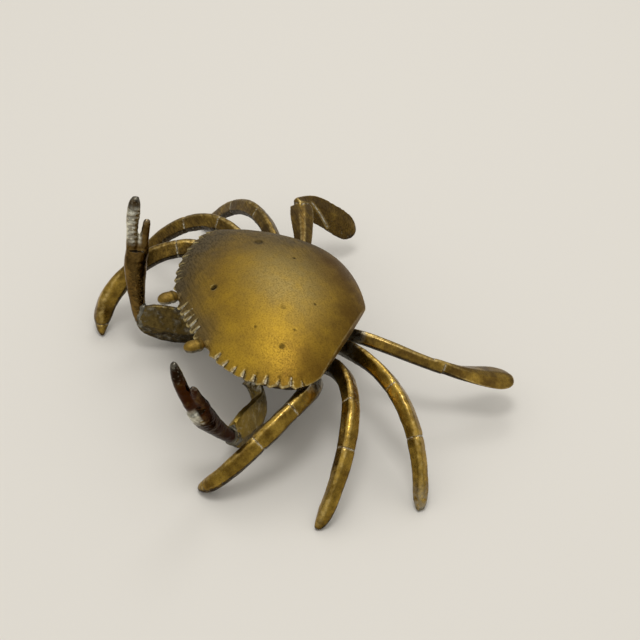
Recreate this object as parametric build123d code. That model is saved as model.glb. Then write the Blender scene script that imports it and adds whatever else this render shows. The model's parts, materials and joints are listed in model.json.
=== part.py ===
from build123d import *
from math import atan2, degrees, hypot
import os

# Units are millimetres. The crab stands on z = 0 and faces -Y, so its left side is +X.
# It is drawn with the shell over the origin, and then set with the origin under the middle of
# its overall box, which the legs make reach farther to the right and back than the shell.
stance_left = 1.1
stance_back = 10.0

# Carapace outline, seen from above, each place given for the left side
shell_half_width = 48.8
shell_front = 35.0
shell_rear = 33.0
lateral_point_front = 3.0
orbit_out = 18.5
orbit_front = 32.8
left_flank_out = 38.6
left_flank_front = 24.0
right_flank_out = 36.9
right_flank_front = 21.4
rear_flank_out = 31.2
rear_flank_back = 16.8
rear_corner_out = 17.5
rear_corner_back = 30.6
lateral_round = 6.0
rear_round = 5.0

# Carapace dome and lid casting
rim_height = 35.0
rim_seat_gap = 0.1
dome_rise = 14.5
dome_half_width = 52.0
dome_front_length = 34.0
dome_rear_length = 43.0
dome_crown_front = 3.0
shoulder_drop = 2.6
shoulder_start = 22.0
rear_shoulder_start = 25.0
lid_wall = 2.2
lid_land = 7.0
dome_columns = 17

# Teeth and engraved strokes along the margins
side_teeth = 10
side_tooth_depth = 1.5
front_teeth = 6
front_teeth_half_span = 10.8
front_tooth_depth = 2.2
tooth_tip_share = 0.3
stroke_length = 3.0
stroke_width = 0.8
stroke_depth = 0.5

# Eyes, cast with the lid
eye_out = 14.6
eye_root_front = 31.5
eye_length = 10.2
eye_width = 5.2
eye_thickness = 4.6
eye_lift = 1.7
eye_size_shares = ((0.0, 0.56), (0.3, 0.66), (0.5, 0.93), (0.7, 1.0), (0.88, 0.78), (0.97, 0.46), (1.0, 0.2))

# Bowl under the lid
bowl_rim_inset = 4.0
bowl_wall = 2.2
bowl_floor_wall = 2.4
bowl_base_height = 15.0
bowl_base_inset = 22.5
bowl_height_shares = (1.0, 0.72, 0.45, 0.17, 0.0)
bowl_inset_shares = (0.0, 0.11, 0.32, 0.67, 1.0)

# Hinge under the rear margin
hinge_back = 31.0
hinge_drop = 2.6
knuckle_radius = 2.0
knuckle_length = 8.0
knuckle_end_gap = 0.3
lug_length = 3.2
pin_radius = 0.9
pin_running_gap = 0.05
pin_head = 0.6
web_thickness = 2.2
stop_drop = 3.05
stop_reach = 2.8
stop_thickness = 1.0
gusset_drop = 7.0

# The legs and claws as one set, turned a little against the shell
leg_set_skew = 5.06

# Walking legs: size, heading, path and section
# A path gives shares of the reach along and aside, and of the rim height up from the floor.
front_leg_root_shares = (0.770, -0.061)
front_leg_reach = 51.6
front_leg_heading = -80.3
front_leg_turn = -0.45
front_leg_width = 8.8
front_leg_depth = 7.4
front_leg_left_path_shares = ((0.0, 0.0, 0.70), (0.249, 0.268, 1.10), (1.017, 0.241, 0.36),
                              (1.0, 0.0, 0.012))
front_leg_right_path_shares = ((0.0, 0.0, 0.70), (0.249, 0.268, 1.26), (1.017, 0.320, 0.51),
                               (1.0, 0.0, 0.012))
front_leg_groove_shares = (0.30, 0.55, 0.93)
middle_leg_root_shares = (0.635, 0.227)
middle_leg_reach = 60.6
middle_leg_heading = -29.6
middle_leg_turn = -1.6
middle_leg_width = 7.8
middle_leg_depth = 7.0
middle_leg_left_path_shares = ((0.0, 0.0, 0.70), (0.381, 0.282, 1.20), (0.866, 0.122, 0.43),
                               (1.0, 0.0, 0.006))
middle_leg_right_path_shares = ((0.0, 0.0, 0.70), (0.381, 0.282, 1.20), (0.866, 0.175, 0.53),
                                (1.0, 0.0, 0.006))
middle_leg_groove_shares = (0.36, 0.60)
hind_leg_root_shares = (0.482, 0.488)
hind_leg_reach = 68.4
hind_leg_heading = -2.6
hind_leg_turn = 0.3
hind_leg_width = 7.5
hind_leg_depth = 6.8
hind_leg_left_path_shares = ((0.0, 0.0, 0.72), (0.519, 0.143, 1.09), (0.803, 0.117, 0.58),
                             (1.0, 0.0, 0.006))
hind_leg_right_path_shares = ((0.0, 0.0, 0.72), (0.519, 0.165, 1.15), (0.803, 0.117, 0.63),
                              (1.0, 0.0, 0.006))
hind_leg_groove_shares = (0.41, 0.67)
leg_crown_share = 0.12
leg_sole_share = 0.33
leg_side_share = -0.06
leg_size_shares = ((-0.06, 0.86, 1.15), (0.04, 0.88, 1.15), (0.16, 1.0, 1.12), (0.30, 0.97, 1.0),
                   (0.44, 1.0, 1.0), (0.58, 1.0, 0.97), (0.72, 0.97, 0.93), (0.84, 0.82, 0.78),
                   (0.93, 0.61, 0.58), (0.98, 0.38, 0.38), (1.0, 0.22, 0.22))
groove_width = 0.7
groove_depth = 0.35

# Swimming legs: a stem from the bowl and a flat blade, each leg set at its own angle
swimming_leg_width = 6.6
swimming_leg_depth = 5.2
blade_width = 12.5
blade_thickness = 3.0
left_stem_size_shares = ((0.0, 0.8, 0.9), (0.2, 0.95, 1.0), (0.45, 1.0, 1.0), (0.7, 0.92, 0.95),
                         (1.0, 0.86, 0.86))
right_stem_size_shares = ((0.0, 0.8, 0.9), (0.2, 0.95, 1.0), (0.5, 1.15, 0.95), (0.8, 1.5, 0.8),
                          (1.0, 1.45, 0.6))
left_swimming_leg_root_shares = (0.307, 0.576)
left_swimming_leg_reach = 69.5
left_swimming_leg_heading = 58.3
left_stem_path_shares = ((0.0, 0.0, 0.73), (0.22, -0.09, 0.84), (0.36, -0.12, 0.80), (0.48, -0.13, 0.73),
                         (0.62, -0.13, 0.64))
left_blade_path_shares = ((0.56, -0.13, 0.68), (0.75, -0.112, 0.54), (0.875, -0.066, 0.45),
                          (1.0, -0.01, 0.39))
left_blade_roll = 0.0
left_blade_size_shares = ((0.0, 0.45, 1.7), (0.25, 0.50, 1.6), (0.45, 0.78, 1.25), (0.68, 1.06, 1.0),
                          (0.86, 1.03, 0.9), (0.96, 0.70, 0.7), (1.0, 0.3, 0.4))
right_swimming_leg_root_shares = (-0.389, 0.485)
right_swimming_leg_reach = 54.3
right_swimming_leg_heading = 129.7
right_stem_path_shares = ((0.0, 0.0, 0.73), (0.36, 0.118, 0.85), (0.52, 0.21, 0.90), (0.67, 0.30, 0.91))
right_blade_path_shares = ((0.65, 0.33, 0.94), (0.75, 0.26, 0.87), (0.87, 0.15, 0.61), (1.0, 0.0, 0.31))
right_blade_roll = 50.0
right_blade_size_shares = ((0.0, 0.42, 1.7), (0.14, 0.7, 1.5), (0.32, 0.96, 1.2), (0.6, 1.0, 1.0),
                           (0.84, 0.94, 0.9), (0.96, 0.6, 0.7), (1.0, 0.3, 0.4))

# Claw arms, from under the front of the bowl to the elbow, each with its root below the orbit
claw_arm_root_shares = (0.99974 * orbit_out / shell_half_width, -0.561)
claw_arm_reach = 28.3
claw_arm_heading = -46.4
claw_arm_turn = 5.0
claw_arm_path_shares = ((0.0, 0.0, 0.45), (0.059, 0.251, 0.24), (0.346, 0.139, 0.20), (1.0, 0.0, 0.46))
claw_arm_width = 9.2
claw_arm_depth = 12.6
claw_arm_size_shares = ((-0.05, 0.60, 0.72), (0.15, 0.70, 0.86), (0.4, 0.92, 1.18), (0.6, 1.0, 1.28),
                        (0.8, 1.0, 1.2), (0.93, 0.88, 0.98), (1.0, 0.66, 0.72))
elbow_height = 14.0

# Pincers, each a palm with a short and a long finger, standing on the elbow
# A row gives shares of the length up, of the width aside and fore, and the size of the section.
pincer_length = 40.0
pincer_width = 9.4
pincer_thickness = 7.4
palm_shares = ((-0.06, -0.02, 0.0, 0.44), (0.04, 0.05, 0.0, 0.64), (0.20, 0.20, 0.0, 0.74),
               (0.40, 0.32, 0.0, 0.92), (0.56, 0.36, 0.0, 1.0), (0.68, 0.36, 0.0, 0.92))
short_finger_shares = ((0.60, 0.14, 0.0, 0.56), (0.74, 0.09, 0.0, 0.52), (0.88, 0.04, 0.0, 0.40),
                       (0.97, 0.0, 0.0, 0.24), (1.0, 0.0, 0.0, 0.12))
left_long_finger_shares = ((0.60, 0.52, 0.0, 0.54), (0.76, 0.47, -0.08, 0.56), (0.94, 0.38, -0.24, 0.54),
                           (1.10, 0.26, -0.42, 0.44), (1.23, 0.13, -0.54, 0.28), (1.27, 0.10, -0.57, 0.14))
right_long_finger_shares = ((0.60, 0.54, 0.0, 0.54), (0.76, 0.58, 0.0, 0.54), (0.94, 0.60, 0.0, 0.50),
                            (1.08, 0.59, 0.0, 0.42), (1.18, 0.56, 0.0, 0.28), (1.22, 0.54, 0.0, 0.14))
left_pincer_lean_shares = (0.13, -0.42, 0.90)
right_pincer_lean_shares = (-0.40, 0.245, 0.885)
left_pincer_spread_shares = (0.0, -1.0, 0.0)
right_pincer_spread_shares = (-0.1, -1.0, 0.0)

overrun = 5.0


# Carapace outline
def outline(inset):
    """Smooth margin of the carapace, moved inward by inset."""
    across = (shell_half_width - inset) / shell_half_width
    ahead = (shell_front - inset) / shell_front
    behind = (shell_rear - inset) / shell_rear

    def front(out, forward):
        return (across * out, -ahead * forward)

    def rear(out, back):
        return (across * out, behind * back)

    def other(point):
        return (-point[0], point[1])

    orbit = front(orbit_out, orbit_front)
    left_flank = front(left_flank_out, left_flank_front)
    right_flank = other(front(right_flank_out, right_flank_front))
    lateral = front(shell_half_width, lateral_point_front)
    rear_flank = rear(rear_flank_out, rear_flank_back)
    corner = rear(rear_corner_out, rear_corner_back)
    edges = [
        ThreePointArc(other(orbit), front(0, shell_front), orbit),
        ThreePointArc(orbit, left_flank, lateral),
        ThreePointArc(lateral, rear_flank, corner),
        ThreePointArc(corner, rear(0, shell_rear), other(corner)),
        ThreePointArc(other(corner), other(rear_flank), other(lateral)),
        ThreePointArc(other(lateral), right_flank, other(orbit)),
    ]
    face = make_face(edges)
    tips = [v for v in face.vertices() if abs(v.X) > across * rear_flank_out]
    face = fillet(tips, lateral_round * across)
    tails = [v for v in face.vertices() if v.Y > behind * rear_flank_back]
    return fillet(tails, rear_round * across)


# Dome, as a height over the rim that falls away toward the margins
def dome_height(x, y):
    past_crown = y + dome_crown_front
    length = dome_front_length if past_crown < 0 else dome_rear_length
    height = dome_rise * (1 - (x / dome_half_width) ** 2 - (past_crown / length) ** 2)
    run = rear_flank_back + lateral_point_front
    fall = shell_half_width - rear_flank_out
    across = run / hypot(run, fall)
    along = fall / hypot(run, fall)
    reach = across * rear_flank_out + along * rear_flank_back
    for place, start, end in ((across * abs(x) + along * y, shoulder_start, reach),
                              (y, rear_shoulder_start, shell_rear)):
        past = max(0, place - start) / (end - start)
        height -= shoulder_drop * past ** 2
    return height


def under_dome(drop):
    """Everything below the dome surface, with the surface lowered by drop."""
    half = shell_half_width + overrun
    ahead = shell_front + overrun
    behind = shell_rear + overrun
    steps = dome_columns - 1
    rows = []
    for i in range(dome_columns):
        x = half * (2 * i / steps - 1)
        row = []
        for j in range(dome_columns):
            y = (ahead + behind) * j / steps - ahead
            row.append(Vector(x, y, rim_height + rim_seat_gap + dome_height(x, y) - drop))
        rows.append(row)
    top = Face.make_surface_from_array_of_points(rows)
    return extrude(top, amount=rim_height + dome_rise, dir=(0, 0, -1))


# Teeth and strokes
def side_margin(side):
    """Margin of one side from the eye to the widest point, drawn as if on the left."""
    flank = (left_flank_out, -left_flank_front) if side > 0 else (right_flank_out, -right_flank_front)
    return ThreePointArc((orbit_out, -orbit_front), flank, (shell_half_width, -lateral_point_front))


def side_tooth(index, side):
    margin = side_margin(side)
    start = margin @ (index / side_teeth)
    end = margin @ ((index + 1) / side_teeth)
    tip_place = (index + tooth_tip_share) / side_teeth
    tangent = margin % tip_place
    outward = Vector(tangent.Y, -tangent.X, 0)
    tip = (margin @ tip_place) + outward * side_tooth_depth
    inner = (start + end) / 2 - outward * side_tooth_depth
    return make_face(Polyline(*[(side * p.X, p.Y) for p in (start, tip, end, inner)], close=True))


def front_tooth(index):
    pitch = 2 * front_teeth_half_span / front_teeth
    left = index * pitch - front_teeth_half_span
    base = front_tooth_depth - shell_front
    tip = -shell_front - front_tooth_depth / 2
    points = [(left, base), (left + pitch * tooth_tip_share, tip),
              (left + pitch * (1 - tooth_tip_share), tip), (left + pitch, base)]
    return make_face(Polyline(*points, close=True))


def toothed_outline():
    teeth = [side_tooth(i, side) for i in range(side_teeth) for side in (-1, 1)]
    teeth += [front_tooth(i) for i in range(front_teeth)]
    return outline(0) + teeth


def engraved_stroke(valley, inward):
    """Stroke cut up the dome from the valley between two teeth."""
    end = valley + inward * stroke_length
    low = dome_height(valley.X, valley.Y)
    rise = dome_height(end.X, end.Y) - low
    middle = (valley + end) / 2 + Vector(0, 0, rim_height + rim_seat_gap + low + rise / 2)
    cutter = Box(stroke_width, hypot(stroke_length, rise), 2 * stroke_depth)
    heading = degrees(atan2(-inward.X, inward.Y))
    return Pos(*middle) * Rot(0, 0, heading) * Rot(degrees(atan2(rise, stroke_length)), 0, 0) * cutter


def engraved_strokes():
    strokes = []
    for i in range(1, front_teeth):
        x = i * 2 * front_teeth_half_span / front_teeth - front_teeth_half_span
        strokes.append(engraved_stroke(Vector(x, -shell_front, 0), Vector(0, 1, 0)))
    for side in (-1, 1):
        margin = side_margin(side)
        for i in range(1, side_teeth):
            valley = margin @ (i / side_teeth)
            tangent = margin % (i / side_teeth)
            strokes.append(engraved_stroke(Vector(side * valley.X, valley.Y, 0),
                                           Vector(-side * tangent.Y, tangent.X, 0)))
    return strokes


# Lid
def eye(side):
    sections = []
    for place, size in eye_size_shares:
        front = eye_root_front + place * eye_length
        centre = (side * eye_out, -front, rim_height + eye_lift)
        plane = Plane(origin=centre, x_dir=(1, 0, 0), z_dir=(0, -1, 0))
        sections.append(plane * Ellipse(size * eye_width / 2, size * eye_thickness / 2))
    return loft(sections)


def hinge_axis_height():
    return rim_height - hinge_drop


def hinge_cylinder(centre_x, length, radius):
    rod = Rot(0, 90, 0) * Cylinder(radius, length)
    return Pos(centre_x, hinge_back, hinge_axis_height()) * rod


def lid_knuckle():
    height = hinge_drop + rim_seat_gap + lid_wall / 2
    web = Pos(0, hinge_back, hinge_axis_height() + height / 2) * Box(knuckle_length, web_thickness, height)
    return hinge_cylinder(0, knuckle_length, knuckle_radius) + web


def carapace_lid():
    base = Pos(0, 0, rim_height + rim_seat_gap)
    tall = dome_rise + overrun
    lid = extrude(base * toothed_outline(), amount=tall) & under_dome(0)
    lid -= engraved_strokes()
    lid -= extrude(base * outline(lid_land), amount=tall) & under_dome(lid_wall)
    lid += [eye(side) for side in (-1, 1)]
    lid += lid_knuckle()
    return lid - hinge_cylinder(0, knuckle_length + overrun, pin_radius + pin_running_gap)


# Bowl
def bowl_form(wall):
    """Solid form of the bowl, shrunk by wall all round except at the rim."""
    lift = bowl_floor_wall if wall else 0
    depth = rim_height - bowl_base_height - lift
    sections = []
    for up, inward in zip(bowl_height_shares, bowl_inset_shares):
        inset = bowl_rim_inset + inward * (bowl_base_inset - bowl_rim_inset) + wall
        sections.append(Pos(0, 0, bowl_base_height + lift + up * depth) * outline(inset))
    return loft(sections)


def bowl_lug(side):
    """Hinge lug with a ledge that stops the open lid, on a gusset from the bowl."""
    centre = side * (knuckle_length / 2 + knuckle_end_gap + lug_length / 2)
    inner = shell_rear - bowl_base_inset - hinge_back
    profile = Polyline((inner, knuckle_radius), (0, knuckle_radius), (0, -stop_drop),
                       (stop_reach, -stop_drop), (stop_reach, -stop_drop - stop_thickness),
                       (0, -gusset_drop), (inner, -gusset_drop), close=True)
    plane = Plane(origin=(centre, hinge_back, hinge_axis_height()), x_dir=(0, 1, 0), z_dir=(1, 0, 0))
    web = extrude(plane * make_face(profile), amount=lug_length / 2, both=True)
    return hinge_cylinder(centre, lug_length, knuckle_radius) + web


def body_bowl():
    bowl = bowl_form(0) + [bowl_lug(side) for side in (-1, 1)]
    bowl -= bowl_form(bowl_wall)
    return bowl - hinge_cylinder(0, 2 * shell_half_width, pin_radius)


def hinge_pin():
    half = knuckle_length / 2 + knuckle_end_gap + lug_length
    pin = hinge_cylinder(0, 2 * half, pin_radius)
    for side in (-1, 1):
        pin += hinge_cylinder(side * (half + pin_head / 2), pin_head, pin_radius + pin_head / 2)
    return pin


# Limbs: sections strung along a curve, with a crown ridge on top
def root_place(root_shares):
    out, back = root_shares
    return Vector(out * shell_half_width, back * shell_rear, 0)


def limb_points(root_shares, reach, heading, path_shares):
    along = Vector(1, 0, 0).rotate(Axis.Z, heading)
    aside = Vector(0, 1, 0).rotate(Axis.Z, heading)
    start = root_place(root_shares)
    return [start + along * (u * reach) + aside * (v * reach) + Vector(0, 0, up * rim_height)
            for u, v, up in path_shares]


def limb_plane(curve, place, roll=0):
    """Plane square to the limb at a share of its length, with the crown of the section up."""
    tangent = curve % max(0, place)
    origin = curve @ max(0, place) + tangent * (min(0, place) * curve.length)
    plane = Plane(origin=origin, x_dir=Vector(0, 0, 1).cross(tangent), z_dir=tangent)
    return plane * Rot(0, 0, roll)


def ridged_section(width, depth):
    """Cast leg section: flat sole, short sides and two polished facets that meet in a ridge."""
    points = [(-leg_crown_share, 0.5), (leg_crown_share, 0.5), (0.5, leg_side_share),
              (leg_sole_share, -0.5), (-leg_sole_share, -0.5), (-0.5, leg_side_share)]
    return make_face(Polyline(*[(x * width, y * depth) for x, y in points], close=True))


def groove_ring(plane, outer_size, core):
    """Ring that cuts a limb down to the core section over the width of a groove."""
    band = extrude(plane * Circle(outer_size), amount=groove_width / 2, both=True)
    return band - extrude(plane * core, amount=groove_width, both=True)


def size_at(size_shares, place):
    """Width and depth shares of a limb at a share of its length."""
    low, high = [pair for pair in zip(size_shares, size_shares[1:]) if pair[0][0] <= place][-1]
    part = (place - low[0]) / (high[0] - low[0])
    return [start + part * (end - start) for start, end in zip(low[1:], high[1:])]


def below_floor():
    span = 4 * shell_half_width
    return Pos(0, 0, -overrun / 2) * Box(span, span, overrun)


def tapered_limb(curve, size_shares, width, depth, roll=0):
    return loft([limb_plane(curve, place, roll) * ridged_section(wide * width, deep * depth)
                 for place, wide, deep in size_shares])


def walking_leg(root_shares, reach, heading, path_shares, width, depth, groove_shares):
    curve = Bezier(*limb_points(root_shares, reach, heading, path_shares))
    leg = tapered_limb(curve, leg_size_shares, width, depth)
    for place in groove_shares:
        wide, deep = size_at(leg_size_shares, place)
        core = ridged_section(wide * width - 2 * groove_depth, deep * depth - 2 * groove_depth)
        leg -= groove_ring(limb_plane(curve, place), width, core)
    return leg


def swimming_leg(root_shares, reach, heading, stem_tables, blade_tables, roll):
    stem_path_shares, stem_size_shares = stem_tables
    blade_path_shares, blade_size_shares = blade_tables
    stem_curve = Spline(*limb_points(root_shares, reach, heading, stem_path_shares))
    blade_curve = Bezier(*limb_points(root_shares, reach, heading, blade_path_shares))
    stem = tapered_limb(stem_curve, stem_size_shares, swimming_leg_width, swimming_leg_depth)
    return stem + tapered_limb(blade_curve, blade_size_shares, blade_width, blade_thickness, roll)


# Claws
def claw_arm_points():
    return limb_points(claw_arm_root_shares, claw_arm_reach, claw_arm_heading, claw_arm_path_shares)


def claw_arm():
    return tapered_limb(Bezier(*claw_arm_points()), claw_arm_size_shares, claw_arm_width, claw_arm_depth)


def finger_plane(row):
    up, aside, fore, size = row
    return Plane(origin=(aside * pincer_width, fore * pincer_width, up * pincer_length))


def finger_loft(table):
    return loft([finger_plane(row) * Ellipse(row[3] * pincer_width / 2, row[3] * pincer_thickness / 2)
                 for row in table])


def pincer(long_finger_shares):
    """Palm and two fingers, standing on the elbow along +Z, with the long finger toward +X."""
    long_finger = finger_loft(long_finger_shares)
    return finger_loft(palm_shares) + finger_loft(short_finger_shares) + long_finger


# The two sides: mirrored castings, each turned about its own root, then skewed as one set
def set_place(root_shares, side, turn):
    root = root_place(root_shares)
    there = Pos(side * root.X, root.Y, 0)
    return Rot(0, 0, leg_set_skew) * there * Rot(0, 0, turn) * there.inverse()


def limb_on_side(limb, root_shares, side, turn):
    return set_place(root_shares, side, turn) * (limb if side > 0 else mirror(limb, about=Plane.YZ))


def walking_legs():
    front = (front_leg_root_shares, front_leg_reach, front_leg_heading)
    middle = (middle_leg_root_shares, middle_leg_reach, middle_leg_heading)
    hind = (hind_leg_root_shares, hind_leg_reach, hind_leg_heading)
    front_size = (front_leg_width, front_leg_depth, front_leg_groove_shares)
    middle_size = (middle_leg_width, middle_leg_depth, middle_leg_groove_shares)
    hind_size = (hind_leg_width, hind_leg_depth, hind_leg_groove_shares)
    legs = {}
    for name, side, turn, place, path_shares, size in (
            ("front_leg_left", 1, front_leg_turn, front, front_leg_left_path_shares, front_size),
            ("front_leg_right", -1, front_leg_turn, front, front_leg_right_path_shares, front_size),
            ("middle_leg_left", 1, middle_leg_turn, middle, middle_leg_left_path_shares, middle_size),
            ("middle_leg_right", -1, middle_leg_turn, middle, middle_leg_right_path_shares, middle_size),
            ("hind_leg_left", 1, hind_leg_turn, hind, hind_leg_left_path_shares, hind_size),
            ("hind_leg_right", -1, hind_leg_turn, hind, hind_leg_right_path_shares, hind_size)):
        leg = walking_leg(*place, path_shares, *size)
        legs[name] = limb_on_side(leg, place[0], side, turn) - below_floor()
    return legs


def swimming_legs():
    left = swimming_leg(left_swimming_leg_root_shares, left_swimming_leg_reach,
                        left_swimming_leg_heading, (left_stem_path_shares, left_stem_size_shares),
                        (left_blade_path_shares, left_blade_size_shares), left_blade_roll)
    right = swimming_leg(right_swimming_leg_root_shares, right_swimming_leg_reach,
                         right_swimming_leg_heading, (right_stem_path_shares, right_stem_size_shares),
                         (right_blade_path_shares, right_blade_size_shares), right_blade_roll)
    return {"left": left, "right": right}


def pincers():
    elbow = claw_arm_points()[-1]
    claws = {}
    for side, name, finger, lean, spread in (
            (1, "left", left_long_finger_shares, left_pincer_lean_shares, left_pincer_spread_shares),
            (-1, "right", right_long_finger_shares, right_pincer_lean_shares, right_pincer_spread_shares)):
        arm_place = set_place(claw_arm_root_shares, side, claw_arm_turn)
        heel = (arm_place * Pos(side * elbow.X, elbow.Y, elbow_height)).position
        axis = Vector(*lean).normalized()
        across = Vector(*spread) - axis * Vector(*spread).dot(axis)
        claws[name] = Plane(origin=heel, x_dir=across, z_dir=axis) * pincer(finger)
    return claws


def build():
    core = bowl_form(0)
    parts = {"carapace_lid": carapace_lid(), "body_bowl": body_bowl(), "hinge_pin": hinge_pin()}
    for name, leg in walking_legs().items():
        parts[name] = leg - core
    for word, leg in swimming_legs().items():
        parts["swimming_leg_" + word] = leg - core - parts["hind_leg_" + word]
    arm = claw_arm()
    for word, claw in pincers().items():
        side = 1 if word == "left" else -1
        own_arm = limb_on_side(arm, claw_arm_root_shares, side, claw_arm_turn)
        parts["claw_arm_" + word] = own_arm - core - claw
        parts["pincer_" + word] = claw
    stance = Pos(stance_left, -stance_back, 0)
    return {name: stance * shape for name, shape in parts.items()}


os.makedirs("parts", exist_ok=True)
for name, shape in build().items():
    export_step(shape, "parts/" + name + ".step")
    print(name, "solids", len(shape.solids()), "volume", round(shape.volume), "box", shape.bounding_box())
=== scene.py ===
# %% [markdown]
# # A brass crab box
# The real object is a small box of sand-cast brass. Its carapace is a lid on a hinge, and the
# bowl under it stands on legs that were cast one by one and soldered on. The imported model
# already has every casting at its real place and size, so this lesson gives the castings the
# soft edges, the hand polish and the tarnish that such brass has, and then lights them.

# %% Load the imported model
import json
import math

import bpy
import numpy as np
from mathutils import Matrix, Vector
from mathutils.kdtree import KDTree

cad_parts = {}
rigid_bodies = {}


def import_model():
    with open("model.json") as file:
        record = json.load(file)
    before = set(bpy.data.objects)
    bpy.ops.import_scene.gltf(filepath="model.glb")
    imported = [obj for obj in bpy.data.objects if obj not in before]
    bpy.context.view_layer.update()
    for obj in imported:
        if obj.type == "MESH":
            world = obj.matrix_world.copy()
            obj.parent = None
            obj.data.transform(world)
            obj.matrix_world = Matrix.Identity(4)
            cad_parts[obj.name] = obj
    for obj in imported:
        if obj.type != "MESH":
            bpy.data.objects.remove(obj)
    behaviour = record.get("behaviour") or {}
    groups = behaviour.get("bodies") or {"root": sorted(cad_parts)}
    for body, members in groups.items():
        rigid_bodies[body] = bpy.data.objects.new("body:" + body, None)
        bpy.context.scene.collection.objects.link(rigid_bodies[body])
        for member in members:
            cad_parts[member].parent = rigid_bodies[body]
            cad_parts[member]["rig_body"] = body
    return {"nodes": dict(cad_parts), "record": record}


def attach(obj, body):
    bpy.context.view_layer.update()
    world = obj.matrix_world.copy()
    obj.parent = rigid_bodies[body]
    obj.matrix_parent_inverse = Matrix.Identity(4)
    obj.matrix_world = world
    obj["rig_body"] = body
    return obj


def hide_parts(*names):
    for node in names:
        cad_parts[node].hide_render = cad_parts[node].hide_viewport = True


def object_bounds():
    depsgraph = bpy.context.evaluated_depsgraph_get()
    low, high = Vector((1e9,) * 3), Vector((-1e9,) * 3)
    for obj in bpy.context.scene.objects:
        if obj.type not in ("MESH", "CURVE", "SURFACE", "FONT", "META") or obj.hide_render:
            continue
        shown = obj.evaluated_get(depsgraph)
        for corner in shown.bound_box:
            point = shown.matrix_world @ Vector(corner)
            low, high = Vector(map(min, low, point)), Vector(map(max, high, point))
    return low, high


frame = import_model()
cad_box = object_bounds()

print("drawn solids in the frame:", len(frame["nodes"]))

# %% [markdown]
# Blender works in metres, and a founder thinks in millimetres. Two tiny helpers keep the
# numbers below readable: one for lengths, and one that turns a written sRGB colour into the
# linear values that the shaders need. The colours could be picked by eye in a linear swatch,
# but a written sRGB colour can be compared with a photograph number by number.

# %% Units and colours
def mm(length):
    return length / 1000


def linear(hex_colour):
    """A written sRGB colour as linear red, green, blue and alpha."""
    channels = [int(hex_colour[i:i + 2], 16) / 255 for i in (1, 3, 5)]
    return (*[c / 12.92 if c <= 0.04045 else ((c + 0.055) / 1.055) ** 2.4 for c in channels], 1.0)


print("polished brass in linear light:", [round(c, 3) for c in linear("#a58a45")])

# %% [markdown]
# ## The view
# The photograph was taken from the crab's left, in front of it and above it, with a long lens
# that keeps the legs from spreading. The camera could be tracked to an empty and nudged until
# it fits. Here it is placed by azimuth, elevation and distance instead, because these can be
# measured, and it is tipped by the degree and a half that the photograph is tipped.

# %% Camera
VIEW_AIM = Vector((mm(-18.65), mm(18.0), 0.0))
VIEW_DISTANCE = mm(770.0)
VIEW_AZIMUTH = math.radians(66.3)
VIEW_ELEVATION = math.radians(41.585)
VIEW_ROLL = math.radians(1.55)
SENSOR_WIDTH = 36.0
FOCAL_LENGTH = 106.875

camera_data = bpy.data.cameras.new("camera")
camera_data.sensor_width = SENSOR_WIDTH
camera_data.lens = FOCAL_LENGTH
camera_data.clip_start = 0.01
camera = bpy.data.objects.new("camera", camera_data)
bpy.context.scene.collection.objects.link(camera)
turn = (Matrix.Rotation(VIEW_AZIMUTH, 4, "Z")
        @ Matrix.Rotation(math.pi / 2 - VIEW_ELEVATION, 4, "X")
        @ Matrix.Rotation(VIEW_ROLL, 4, "Z"))
camera.matrix_world = Matrix.Translation(VIEW_AIM + turn.col[2].xyz * VIEW_DISTANCE) @ turn
bpy.context.scene.camera = camera
print("camera stands at", [round(c, 3) for c in camera.location])

# %% [markdown]
# ## Shader nodes
# Every material below is a small tree of nodes. Such a tree could be clicked together in the
# editor. Here one helper adds a node, sets its properties or inputs, and links the outputs of
# earlier nodes into it, so that a tree reads from top to bottom like a recipe.

# %% Node helper
def add_node(tree, kind, settings=None, links=None):
    """Adds a shader node, sets its properties or inputs, and links outputs into its inputs."""
    node = tree.nodes.new(kind)
    for key, value in (settings or {}).items():
        if isinstance(key, str) and hasattr(node, key):
            setattr(node, key, value)
        else:
            node.inputs[key].default_value = value
    for key, output in (links or {}).items():
        tree.links.new(output, node.inputs[key])
    return node


def new_material(name):
    """An empty node material with its output node."""
    material = bpy.data.materials.new(name)
    material.use_nodes = True
    material.node_tree.nodes.clear()
    return material, add_node(material.node_tree, "ShaderNodeOutputMaterial")


print("node helper ready")

# %% [markdown]
# ## A small studio
# Metal shows what is around it. A photographed sky would give it rich reflections, but plain
# sources are easier to steer. A broad soft lamp high on the far side lays a pale patch on the
# crown of the carapace, a second one nearly overhead makes the short shadows, and a grey world
# that is brighter above than at the horizon fills the rest.

# %% Lamps and world
LAMP_DISTANCE = 1.0
LAMP_SIZE = 0.34
HORIZON_LEVEL, ZENITH_LEVEL = 0.30, 0.95


def soft_lamp(name, direction, watts):
    """A round area lamp that shines from a direction toward the origin."""
    data = bpy.data.lights.new(name, "AREA")
    data.shape = "DISK"
    data.size = LAMP_SIZE
    data.energy = watts
    lamp = bpy.data.objects.new(name, data)
    towards = Vector(direction).normalized()
    lamp.location = towards * LAMP_DISTANCE
    lamp.rotation_euler = towards.to_track_quat("Z", "Y").to_euler()
    bpy.context.scene.collection.objects.link(lamp)


soft_lamp("crown_lamp", (-0.53, 0.33, 0.78), 1.0)
soft_lamp("overhead_lamp", (0.10, -0.06, 1.0), 2.2)

world = bpy.data.worlds.new("studio")
bpy.context.scene.world = world
world.use_nodes = True
sky = world.node_tree
direction = add_node(sky, "ShaderNodeTexCoord").outputs["Generated"]
height = add_node(sky, "ShaderNodeSeparateXYZ", None, {"Vector": direction}).outputs["Z"]
level = add_node(sky, "ShaderNodeMapRange",
                 {"From Max": 0.85, "To Min": HORIZON_LEVEL, "To Max": ZENITH_LEVEL},
                 {"Value": height}).outputs["Result"]
sky.nodes["Background"].inputs["Color"].default_value = linear("#f6f4f0")
sky.links.new(level, sky.nodes["Background"].inputs["Strength"])

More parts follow.
